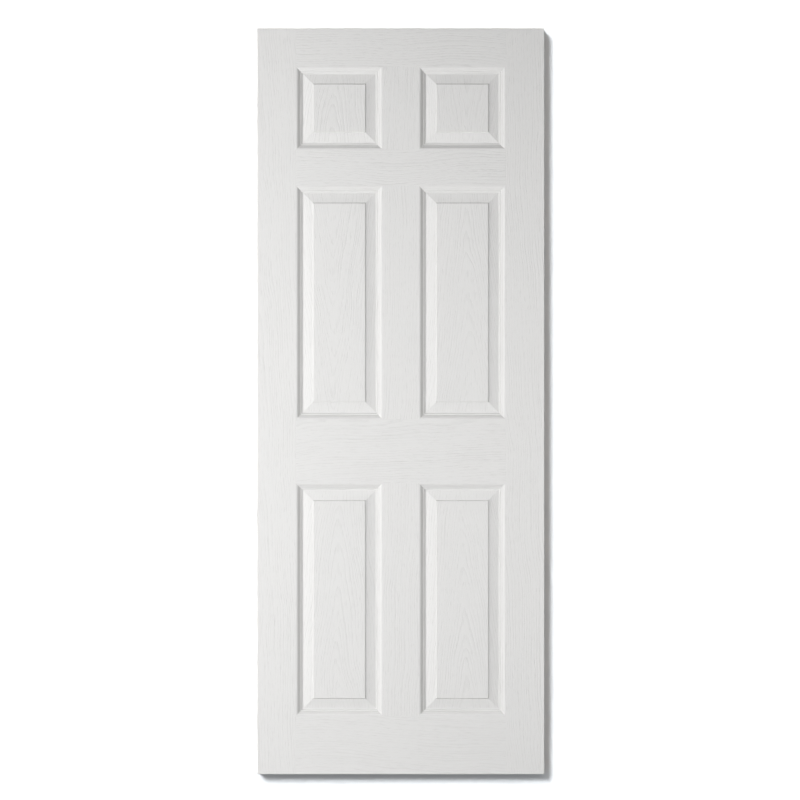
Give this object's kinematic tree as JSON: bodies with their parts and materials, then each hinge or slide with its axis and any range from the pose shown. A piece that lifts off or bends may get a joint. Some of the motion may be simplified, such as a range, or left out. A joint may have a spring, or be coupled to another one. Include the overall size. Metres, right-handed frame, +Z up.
{
  "type": "interior door leaf",
  "caption": "White moulded hollow-core interior door leaf with raised panels and embossed woodgrain, undrilled, for hanging on hinges in a lining.",
  "frame": {"origin": "middle of the leaf's bottom edge, halfway through its thickness", "axes": "+Z up the height, +X across the width to the right as seen from the front, +Y through the thickness towards the back; the front face looks along -Y"},
  "size_m": [0.762, 0.035, 1.981],
  "materials": {
    "primed_skin": "satin",
    "softwood": "matte",
    "kraft_paper": "matte",
    "staple_steel": "satin"
  },
  "bodies": {
    "root": {"front_skin": "primed_skin", "back_skin": "primed_skin", "left_stile": "softwood", "right_stile": "softwood", "top_rail": "softwood", "bottom_rail": "softwood", "left_lock_block": "softwood", "right_lock_block": "softwood", "honeycomb_core": "kraft_paper", "corner_staples": "staple_steel", "block_staples": "staple_steel"}
  },
  "joints": []
}
